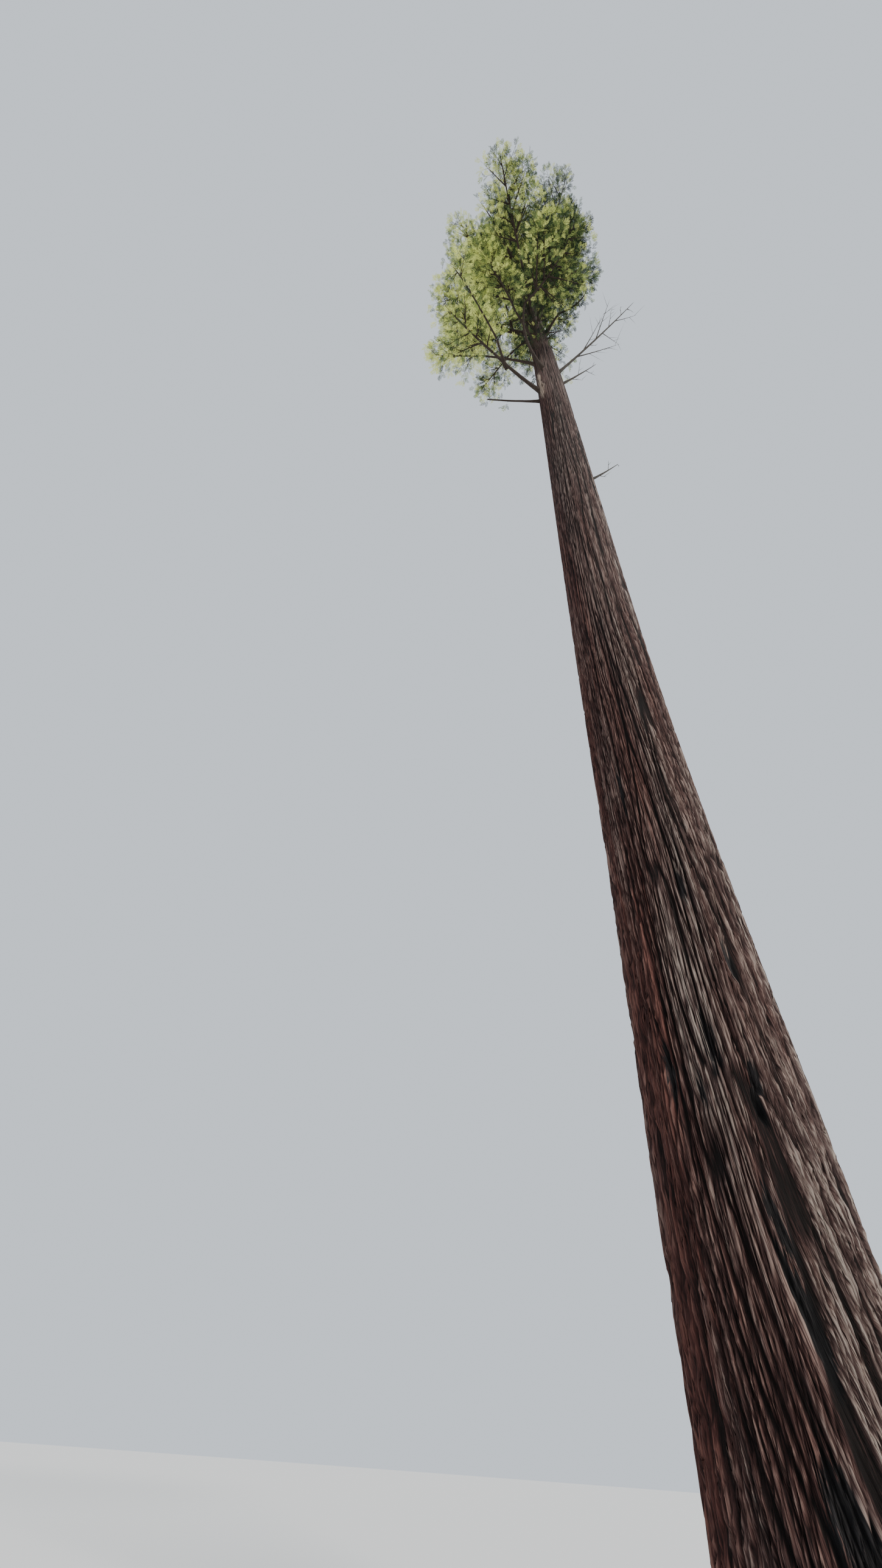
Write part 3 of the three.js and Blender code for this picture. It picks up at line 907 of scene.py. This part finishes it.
def drooping(start, way, length, droop, steps):
    """Points along a shoot whose weight bends it down."""
    shares = [step / steps for step in range(steps + 1)]
    return [start + way * (length * share) - UP * (droop * length * share * share) for share in shares]


def end_way(path):
    return (path[-1] - path[-2]).normalized()


def stations(path, gap, bare, rng):
    """Places along a path with the path's direction there, and the share of the path before each."""
    lengths = [(b - a).length for a, b in zip(path, path[1:])]
    total = sum(lengths)
    at = total * bare + rng.uniform(*FIRST_GAP) * gap
    found = []
    while at < total * LAST_PLACE:
        rest, number = at, 0
        while number < len(lengths) - 1 and rest > lengths[number]:
            rest -= lengths[number]
            number += 1
        piece = path[number + 1] - path[number]
        found.append((path[number] + piece * min(rest / lengths[number], 1), piece.normalized(), at / total))
        at += gap * rng.uniform(*GAP_VARIES)
    return found


def or_sideways(way):
    """A way, or +X where there is hardly any of it because its shoot stands straight up."""
    return way if way.length > UPRIGHT else Vector((1, 0, 0))


def shoot_way(along, side, angle, tilt):
    """The way a shoot leaves its parent: to a side, turned up or down by a tilt. Angles are in degrees."""
    across = or_sideways(along.cross(UP)).normalized()
    over = across.cross(along)
    tilted = across * (side * math.cos(math.radians(tilt))) + over * math.sin(math.radians(tilt))
    return (along * math.cos(math.radians(angle)) + tilted * math.sin(math.radians(angle))).normalized()


class Crown:
    """What grows out of the boughs, to be joined: limbs inside the masses, twigs and sprays."""

    def __init__(self):
        self.branches = {"low": Tubes(), "high": Tubes()}
        self.twigs = {"low": Tubes(), "high": Tubes()}
        self.sprays = defaultdict(list)


class Growth:
    """Grows shoots in or beside one mass, into the crown."""

    def __init__(self, crown, mass, rng):
        self.branches, self.twigs = crown.branches[mass.half], crown.twigs[mass.half]
        self.sprays = crown.sprays[mass.node]
        self.mass, self.rng = mass, rng

    def spray(self, start, way, light):
        length = self.rng.uniform(*SPRAY_LENGTH)
        normal = or_sideways(way.cross(UP).cross(way))
        normal.rotate(Matrix.Rotation(math.radians(self.rng.gauss(0, SPRAY_ROLL)), 3, way))
        shade = light + self.rng.gauss(0, SPRAY["light"])
        self.sprays.append((*start, *way, *normal.normalized(), length, shade))

    def shoot(self, tubes, kind, start, way, length, light):
        """A bare shoot. Returns its path, the side its first offshoot is not on, and its light."""
        droop = kind["droop"] * self.rng.uniform(*kind["varies"])
        path = drooping(start, way, length, droop, kind["steps"])
        slot = self.rng.randrange(kind["browns"]) if "browns" in kind else 0
        share, added, tip = kind["radius"]
        tubes.add(path, np.linspace(share * length + added, tip, len(path)), kind["sides"], slot)
        side = self.rng.choice((-1, 1))
        return path, side, light + self.rng.gauss(0, kind["light"])

    def offshoots(self, path, side, kind):
        """Places for offshoots on alternate sides of a path, with the way and the share of the path."""
        for place, along, share in stations(path, kind["gap"], kind["bare"], self.rng):
            side = -side
            angle = kind["angle"] + self.rng.gauss(0, ANGLE_WANDER)
            yield place, shoot_way(along, side, angle, self.rng.gauss(kind["tilt"], TILT_WANDER)), share

    def twig(self, start, way, length, light):
        """A twig with sprays on alternate sides and one at its end."""
        path, side, light = self.shoot(self.twigs, TWIG, start, way, length, light)
        for place, spray_way, _ in self.offshoots(path, side, SPRAY):
            self.spray(place, spray_way, light)
        self.spray(path[-1] - end_way(path) * SPRAY_SUNK, end_way(path), light + TWIG_TIP_LIGHT)

    def side_shoot(self, start, way, length, light):
        """A side shoot that droops, with twigs on alternate sides and one at its end."""
        path, side, light = self.shoot(self.branches, SIDE_SHOOT, start, way, length, light)
        shortest, longest = TWIG_LENGTHS
        for place, twig_way, share in self.offshoots(path, side, TWIG):
            reach = TWIG_SHARE * length * (1 - share) ** TWIG_TAPER + shortest
            reach = min(reach, longest, self.mass.room(place, twig_way)) * self.rng.uniform(*TWIG_VARIES)
            if reach > shortest:
                self.twig(place, twig_way, reach, light + SHOOT_TIP_LIGHT * share)
        self.twig(path[-1], end_way(path), shortest, light + SHOOT_TIP_LIGHT)

    def bough(self, start, radius):
        """A bough's inner length through its mass, with side shoots all along it."""
        mass, rng = self.mass, self.rng
        end = mass.tip - (mass.tip - mass.inner).normalized() * TIP_ROOM
        middle = mass.middle - UP * (OPEN_SINK * (mass.high - mass.low) if mass.open else 0)
        path = curve_through(start, middle, end, AXIS_STEPS)
        lumps = limb_lumps(rng.randrange(AXIS_PATTERNS), len(path), AXIS_SIDES)
        self.branches.add(path, np.linspace(radius, AXIS_TIP_RADIUS, len(path)), AXIS_SIDES, lumps=lumps)
        side = 1
        shortest, longest = SIDE_LENGTHS
        for place, along, share in stations(path, SIDE_SHOOT["gap"], SIDE_SHOOT["bare"], rng):
            side = -side
            angle = SIDE_SHOOT["angle"] - AXIS_CLOSES * share + rng.gauss(0, ANGLE_WANDER)
            for tilt in OPEN_TILTS if mass.open else CLOSE_TILTS:
                way = shoot_way(along, side, angle, rng.gauss(*tilt))
                length = min(mass.room(place, way) * rng.uniform(*ROOM_SHARE) - SIDE_ROOM, longest)
                if length > shortest:
                    self.side_shoot(place, way, length, mass.daylight(place + way * (length / 2)))
        self.twig(path[-1], end_way(path), TWIG_LENGTHS[0], mass.daylight(path[-1]) + SHOOT_TIP_LIGHT)


def spiral(turns, start, end, gap, rng=None):
    """Heights up the trunk, with the way out of it at each, which turns on from one to the next."""
    height = start
    while height < end:
        turn = next(turns)
        yield height, Vector((math.cos(turn), math.sin(turn), 0))
        height += gap * (rng.uniform(*TRUNK_SHOOT_GAPS) if rng else 1)


def grow_trunk_shoots(crown, masses, rng):
    """Twigs and longer shoots straight out of the trunk, from the crown's base up."""
    turns = itertools.count(0.0, GOLDEN_TURN)
    for kind in TRUNK_SHOOTS:
        for height, out in spiral(turns, kind["from"], LEADER["from"], kind["gap"], rng):
            start = trunk.axis_point(height) + out * trunk.radius(height) * TRUNK_SHOOT_ROOT
            way = (out + UP * rng.uniform(*kind["climb"])).normalized()
            growth = Growth(crown, nearest_mass(masses, start), rng)
            grow = growth.side_shoot if kind["carries_twigs"] else growth.twig
            grow(start, way, rng.uniform(*kind["reach"]), LIGHT_OF_TRUNK_SHOOTS)


def grow_leader(growth):
    """Short climbing twigs round the last stretch of the trunk, shorter and steeper the higher they are."""
    turns = itertools.count(0.0, GOLDEN_TURN)
    for height, out in spiral(turns, LEADER["from"], trunk.top - LEADER["ends"], LEADER["gap"]):
        share = (height - LEADER["from"]) / (trunk.top - LEADER["from"])
        way = (out + UP * (LEADER["climb"] + share)).normalized()
        reach = between(LEADER["reach"], share) * growth.rng.uniform(*LEADER["varies"])
        growth.twig(trunk.axis_point(height), way, reach, LIGHT_OF_LEADER)
    growth.spray(trunk.axis_point(trunk.top) - UP * LEADER["tip"], UP.copy(), LIGHT_OF_LEADER)


def grow_low_limb(growth, limb):
    """A few small twigs on the low limb's outer half."""
    rng = growth.rng
    path = [Vector(limb.at(share)) for share in LOW_LIMB["shares"]]
    for place, along, _ in stations(path, LOW_LIMB["gap"], 0.0, rng):
        side = rng.choice((-1, 1))
        angle = rng.gauss(LOW_LIMB["angle"], ANGLE_WANDER)
        way = shoot_way(along, side, angle, rng.gauss(0, LOW_LIMB["tilt"]))
        growth.twig(place, way, LOW_LIMB["length"], LIGHT_OF_LOW_LIMB)


def spray_shape(rng):
    """One spray of unit length along x: a stem, and paired needles of two faces folded along the middle."""
    corners = []
    least, swell = NEEDLE_SWELL
    start, stretch = SWELL_STRETCH
    for pair in range(NEEDLE_PAIRS):
        share = (pair + NEEDLE_PLACE) / NEEDLE_PAIRS
        size = NEEDLE_LENGTH * (least + swell * math.sin(math.pi * min(share * stretch + start, 1)))
        angle = between(NEEDLE_ANGLES, share)
        for side in (-1, 1):
            turn = math.radians(angle + rng.gauss(0, NEEDLE_TURNS)) * side
            length = size * rng.uniform(*NEEDLE_VARIES)
            way = np.array([math.cos(turn), math.sin(turn), rng.gauss(*NEEDLE_LIFT)])
            across = np.array([-math.sin(turn), math.cos(turn), 0])
            base = np.array([share + rng.uniform(-NEEDLE_SHIFT, NEEDLE_SHIFT), 0, 0])
            half = across * length * NEEDLE_WIDTH / 2
            fold = np.array([0, 0, length * NEEDLE_FOLD * NEEDLE_WIDTH])
            broad = base + way * length * NEEDLE_WIDEST
            corners += [base, broad - half + fold, base + way * length, broad + half + fold]
    corners += [[0, 0, 0], [STEM_WIDEST, -STEM_WIDTH / 2, 0], [1, 0, 0], [STEM_WIDEST, STEM_WIDTH / 2, 0]]
    shape = np.array(corners)
    shape[:, 2] -= SPRAY_BEND * shape[:, 0] ** 2
    return shape


def needles_piece(name, masses, crown, shapes, materials, rng):
    """The needles of several masses, joined. Each spray takes one green from its place."""
    rows = np.concatenate([np.array(crown.sprays[mass.node]) for mass in masses])
    start, way, normal = rows[:, 0:3], rows[:, 3:6], rows[:, 6:9]
    frames = np.stack([way, np.cross(normal, way), normal], axis=1)
    shape = shapes[rng.integers(0, len(shapes), len(rows))]
    vertices = (start[:, None] + shape @ frames * rows[:, 9, None, None]).reshape(-1, 3)
    base = np.arange(len(vertices) // 4)[:, None, None] * 4
    faces = (base + np.array([[0, 1, 2], [0, 2, 3]])).reshape(-1, 3)
    thing = new_mesh(name, vertices, [faces], smooth=False)
    green = np.clip(rows[:, 10] * len(GREENS), 0, len(GREENS) - 1).astype(np.int32)
    thing.data.polygons.foreach_set("material_index", np.repeat(green, len(faces) // len(rows)))
    return finish_piece(thing, materials, [mass.node for mass in masses])


class Nodes:
    """A material whose nodes are made and linked one by one."""

    def __init__(self, name, roughness=ROUGHNESS, specular=SPECULAR):
        self.material = bpy.data.materials.new(name)
        self.material.use_nodes = True
        self.tree = self.material.node_tree
        self.shader = self.tree.nodes["Principled BSDF"]
        self.put(self.shader.inputs["Roughness"], roughness)
        self.put(self.shader.inputs["Specular IOR Level"], specular)

    def put(self, socket, value):
        """Sets a socket to a value, or links another node's output to it."""
        if isinstance(value, bpy.types.NodeSocket):
            self.tree.links.new(value, socket)
        else:
            socket.default_value = value

    def add(self, kind, output, **inputs):
        node = self.tree.nodes.new("ShaderNode" + kind)
        for name, value in inputs.items():
            self.put(node.inputs[name], value)
        return node.outputs[output]

    def attribute(self, name, output="Fac"):
        value = self.add("Attribute", output)
        value.node.attribute_name = name
        return value

    def maths(self, operation, *values, clamped=False):
        result = self.add("Math", "Value")
        result.node.operation = operation
        result.node.use_clamp = clamped
        for socket, value in zip(result.node.inputs, values):
            self.put(socket, value)
        return result

    def mix(self, factor, one, other):
        node = self.tree.nodes.new("ShaderNodeMix")
        node.data_type = "RGBA"
        for name, value in (("Factor", factor), ("A", one), ("B", other)):
            self.put(node.inputs[name], value)
        return node.outputs["Result"]

    def ramp(self, source, stops):
        colour = self.add("ValToRGB", "Color", Fac=source)
        ramp = colour.node.color_ramp
        while len(ramp.elements) < len(stops):
            ramp.elements.new(0.5)
        for element, (place, shade) in zip(ramp.elements, stops):
            element.position = place
            element.color = (*shade, 1)
        return colour

    def noise(self, place, scale, detail):
        """Noise stretched along the grain."""
        stretched = self.add("Mapping", "Vector", Vector=place, Scale=scale)
        settings = {"Scale": 1.0, "Detail": detail, "Roughness": NOISE_ROUGHNESS}
        return self.add("TexNoise", "Fac", Vector=stretched, **settings)

    def moved(self, base, noise, amount, clamped=False):
        """A value moved up and down by noise, whose middle is a half."""
        lowered = self.maths("SUBTRACT", base, amount / 2)
        return self.maths("MULTIPLY_ADD", noise, amount, lowered, clamped=clamped)

    def lines(self, place, scale, width):
        """Lines along the grain where noise crosses its middle: 0 in them, and 1 away from them."""
        from_middle = self.maths("SUBTRACT", self.noise(place, scale, LINE_DETAIL), 0.5)
        return self.maths("DIVIDE", self.maths("ABSOLUTE", from_middle), width, clamped=True)

    def mark(self, name, noises, level, in_furrows=0.0):
        """How much of a kind of mark shows: its edge is torn along the fibres, and may run into furrows."""
        within = self.attribute(name)
        near = self.maths("MULTIPLY", within, MARK_FADE, clamped=True)
        for noise, torn in zip(noises, MARK_TORN):
            within = self.moved(within, noise, torn)
        within = self.maths("MULTIPLY_ADD", level, -in_furrows, within)
        edge = MARK_SHARPNESS * (1 - in_furrows / 2)
        shown = self.maths("MULTIPLY_ADD", within, MARK_SHARPNESS, -edge, clamped=True)
        return self.maths("MULTIPLY", shown, near)

    def finish(self, colour, height, bump):
        """Gives the shader its colour and a bump of a strength and distance."""
        strength, distance = bump
        normal = self.add("Bump", "Normal", Height=height, Strength=strength, Distance=distance)
        self.put(self.shader.inputs["Base Color"], colour)
        self.put(self.shader.inputs["Normal"], normal)
        return self.material


def bark_material():
    """Dark furrows, deepened to near black by painted shade, under fibrous ridges: red-brown where sheltered,
    grey-tan where weathered.
    """
    nodes = Nodes("redwood_bark")
    place = nodes.attribute("along_grain", "Vector")
    fibres, strands, flakes, streaks = (nodes.noise(place, *kind) for kind in BARK_NOISES)
    level = nodes.attribute("relief")
    height = nodes.maths("ADD", fibres, strands)
    for line in LINES:
        away = nodes.lines(place, line["scale"], line["width"])
        left = nodes.maths("MULTIPLY_ADD", away, line["share"], 1 - line["share"])
        level = nodes.maths("MULTIPLY", level, left)
        height = nodes.maths("MULTIPLY_ADD", away, line["share"], height)
    for noise, amount in zip((fibres, strands, flakes), LEVEL_NOISE):
        level = nodes.moved(level, noise, amount)
    weathered = nodes.moved(nodes.attribute("weathered"), streaks, WEATHERED_NOISE, clamped=True)
    colour = nodes.mix(weathered, nodes.ramp(level, BARK_RED), nodes.ramp(level, BARK_GREY))
    callus = nodes.mark("callus", (flakes, fibres), level)
    colour = nodes.mix(callus, colour, nodes.ramp(level, BARK_CALLUS))
    burnt = nodes.mark("burnt", (fibres, streaks), level, BURNT_IN_FURROWS)
    colour = nodes.mix(burnt, colour, nodes.ramp(level, BARK_CHAR))
    return nodes.finish(colour, height, BARK_BUMP)


def wood_material(name, colours, scale):
    """Limb bark or bare dead wood, streaked along the limb."""
    nodes = Nodes(name)
    rough = nodes.noise(nodes.add("TexCoord", "Object"), scale, WOOD_DETAIL)
    return nodes.finish(nodes.ramp(rough, colours), rough, WOOD_BUMP)


def plain_material(name, colour, *finish):
    """One even colour, with a roughness and a specular level where they are given."""
    nodes = Nodes(name, *finish)
    nodes.put(nodes.shader.inputs["Base Color"], (*colour, 1))
    return nodes.material


def foliage_materials(name, colours, roughness):
    """A plain material for each of several colours."""
    return [
        plain_material(f"{name}_{number}", colour, roughness, FOLIAGE_SPECULAR)
        for number, colour in enumerate(colours)
    ]


def make_camera():
    """The photograph's view: close to the foot, looking steeply up past the trunk."""
    data = bpy.data.cameras.new("camera")
    data.sensor_width = SENSOR_WIDTH
    data.lens = SENSOR_WIDTH * FOCAL_PIXELS / PHOTO_HEIGHT
    data.clip_end = VIEW_RANGE
    camera = link(bpy.data.objects.new("camera", data))
    right_of_centre = (ZENITH_PIXEL[0] - PHOTO_WIDTH / 2) / FOCAL_PIXELS
    above_centre = (PHOTO_HEIGHT / 2 - ZENITH_PIXEL[1]) / FOCAL_PIXELS
    view = Vector((0, 0, -1))
    up = Vector((right_of_centre, above_centre, -1)).normalized()
    forward = (view - up * up.dot(view)).normalized()
    right = forward.cross(up)
    east = right * math.cos(TREE_BEARING) - forward * math.sin(TREE_BEARING)
    north = right * math.sin(TREE_BEARING) + forward * math.cos(TREE_BEARING)
    camera.matrix_world = Matrix.Translation(EYE) @ Matrix((east, north, up)).to_4x4()
    bpy.context.scene.camera = camera


def make_light():
    """Pale surroundings all round, and a soft sun from the front right."""
    world = bpy.data.worlds.new("pale_surroundings")
    bpy.context.scene.world = world
    world.use_nodes = True
    world.node_tree.nodes["Background"].inputs["Color"].default_value = (*SKY_COLOUR, 1)
    sun = bpy.data.lights.new("soft_sun", "SUN")
    sun.energy = SUN_STRENGTH
    sun.angle = math.radians(SUN_SIZE)
    sun.color = SUN_COLOUR
    lamp = link(bpy.data.objects.new("soft_sun", sun))
    turn, height = math.radians(SUN_TURN), math.radians(SUN_HEIGHT)
    towards = Vector((math.cos(turn) * math.cos(height), math.sin(turn) * math.cos(height), math.sin(height)))
    lamp.rotation_euler = towards.to_track_quat("Z", "Y").to_euler()


def make_floor():
    turns = np.arange(FLOOR_SIDES) / FLOOR_SIDES * math.tau
    rim = np.concatenate([on_circle(turns, FLOOR_RADIUS), np.zeros((FLOOR_SIDES, 1))], axis=1)
    floor = new_mesh("floor", rim, [np.arange(FLOOR_SIDES)[None]], smooth=False)
    floor.data.materials.append(plain_material("pale_floor", FLOOR_COLOUR))


def make_limbs(limb_bark, dead_wood):
    """The boughs, the low limb and the dead limbs. Returns the fitted limbs by name."""
    names = sorted(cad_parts)
    living = [name for name in names if name.startswith("bough") or name == "low_limb"]
    dead = [name for name in names if name.startswith("dead_limb")]
    limbs = {name: Limb(name) for name in living + dead}
    alive_tubes, dead_tubes = Tubes(), Tubes()
    for number, name in enumerate(living):
        add_limb(alive_tubes, limbs[name], number)
    finish_piece(alive_tubes.build("boughs"), [limb_bark], living)
    for number, name in enumerate(dead):
        add_limb(dead_tubes, limbs[name], SEEDS["dead_limbs"] + number, DEAD_TIP)
        add_dead_branches(dead_tubes, limbs[name], random.Random(SEEDS["dead_branches"] + number))
    finish_piece(dead_tubes.build("dead_limbs"), [dead_wood], dead)
    return limbs


def add_dead_branches(tubes, limb, rng):
    """Bare branches fanning out from a dead limb, each with a few broken twigs of its own."""
    kind, twig = DEAD_BRANCH, DEAD_TWIG
    side = 1
    for share in np.arange(kind["from"], kind["to"], kind["gap"] / limb.length):
        side = -side
        way = shoot_way(limb.way(), side, rng.gauss(*kind["angle"]), rng.gauss(*kind["tilt"]))
        length = limb.length * kind["share"] * (kind["end"] - share) * rng.uniform(*kind["lengths"])
        path = drooping(Vector(limb.at(share)), way, length, rng.uniform(*kind["droop"]), kind["steps"])
        each, added, tip = kind["radius"]
        tubes.add(path, np.linspace(each * length + added, tip, len(path)), kind["sides"])
        for place, along, _ in stations(path, twig["gap"], twig["bare"], rng):
            way = shoot_way(along, rng.choice((-1, 1)), rng.gauss(*twig["angle"]), rng.gauss(*twig["tilt"]))
            reach = rng.uniform(*twig["reach"]) * (twig["added"] + length)
            twig_path = drooping(place, way, reach, rng.uniform(*twig["droop"]), twig["steps"])
            tubes.add(twig_path, np.linspace(*twig["radius"], len(twig_path)), twig["sides"])


def grow_mass(crown, mass, bough, rng):
    """Fills a mass with what grows on from its bough, or straight from the trunk where it has none."""
    if bough:
        start, radius = Vector(bough.at(1.0)), float(bough.radius(1.0))
        mass.open = True
    else:
        axis = trunk.axis_point(mass.inner.z)
        start = axis + (mass.inner - axis).normalized() * (trunk.radius(mass.inner.z) * AXIS_START)
        radius = AXIS_RADIUS * mass.length
    Growth(crown, mass, rng).bough(start, radius)


def make_crown(limbs, limb_bark):
    """Grows every mass, the leader and the small shoots, and joins what grew into pieces."""
    masses = [Mass(name) for name in sorted(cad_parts) if name.startswith("foliage")]
    crown = Crown()
    for number, mass in enumerate(masses):
        bough = limbs.get(mass.node.replace("foliage", "bough"))
        grow_mass(crown, mass, bough, random.Random(SEEDS["boughs"] + number))
    highest = max(masses, key=lambda mass: mass.high)
    grow_leader(Growth(crown, highest, random.Random(SEEDS["leader"])))
    grow_trunk_shoots(crown, masses, random.Random(SEEDS["trunk_shoots"]))
    low_limb = limbs["low_limb"]
    nearest = nearest_mass(masses, Vector(low_limb.at(1.0)))
    grow_low_limb(Growth(crown, nearest, random.Random(SEEDS["low_limb"])), low_limb)

    for half, tubes in crown.branches.items():
        finish_piece(tubes.build(f"branches_{half}"), [limb_bark], [])
    browns = foliage_materials("twig", TWIG_BROWNS, TWIG_ROUGHNESS)
    for half, tubes in crown.twigs.items():
        finish_piece(tubes.build(f"twigs_{half}", mapped=False), browns, [])
    join_needles(crown, masses)


def join_needles(crown, masses):
    """Joins the needles from the lowest mass up, into as few pieces as their size allows."""
    shape_rng = random.Random(SEEDS["sprays"])
    shapes = np.array([spray_shape(shape_rng) for _ in range(SPRAY_SHAPES)])
    greens = foliage_materials("green", GREENS, FOLIAGE_ROUGHNESS)
    each = (NEEDLE_PAIRS * 2 + 1) * 2
    groups, room = [], 0
    for mass in sorted(masses, key=lambda mass: mass.middle.z):
        count = len(crown.sprays[mass.node]) * each
        if count > room:
            groups.append([])
            room = MOST_TRIANGLES
        groups[-1].append(mass)
        room -= count
    for number, group in enumerate(groups):
        rng = np.random.default_rng(number)
        needles_piece(f"needles_{number + 1}", group, crown, shapes, greens, rng)


make_camera()
make_light()
make_floor()
bark = bark_material()
for number in range(len(BARK_BANDS)):
    bark_band(number, bark)
limb_bark = wood_material("limb_bark", LIMB_COLOURS, LIMB_GRAIN)
dead_wood = wood_material("dead_wood", DEAD_COLOURS, DEAD_GRAIN)
make_crown(make_limbs(limb_bark, dead_wood), limb_bark)
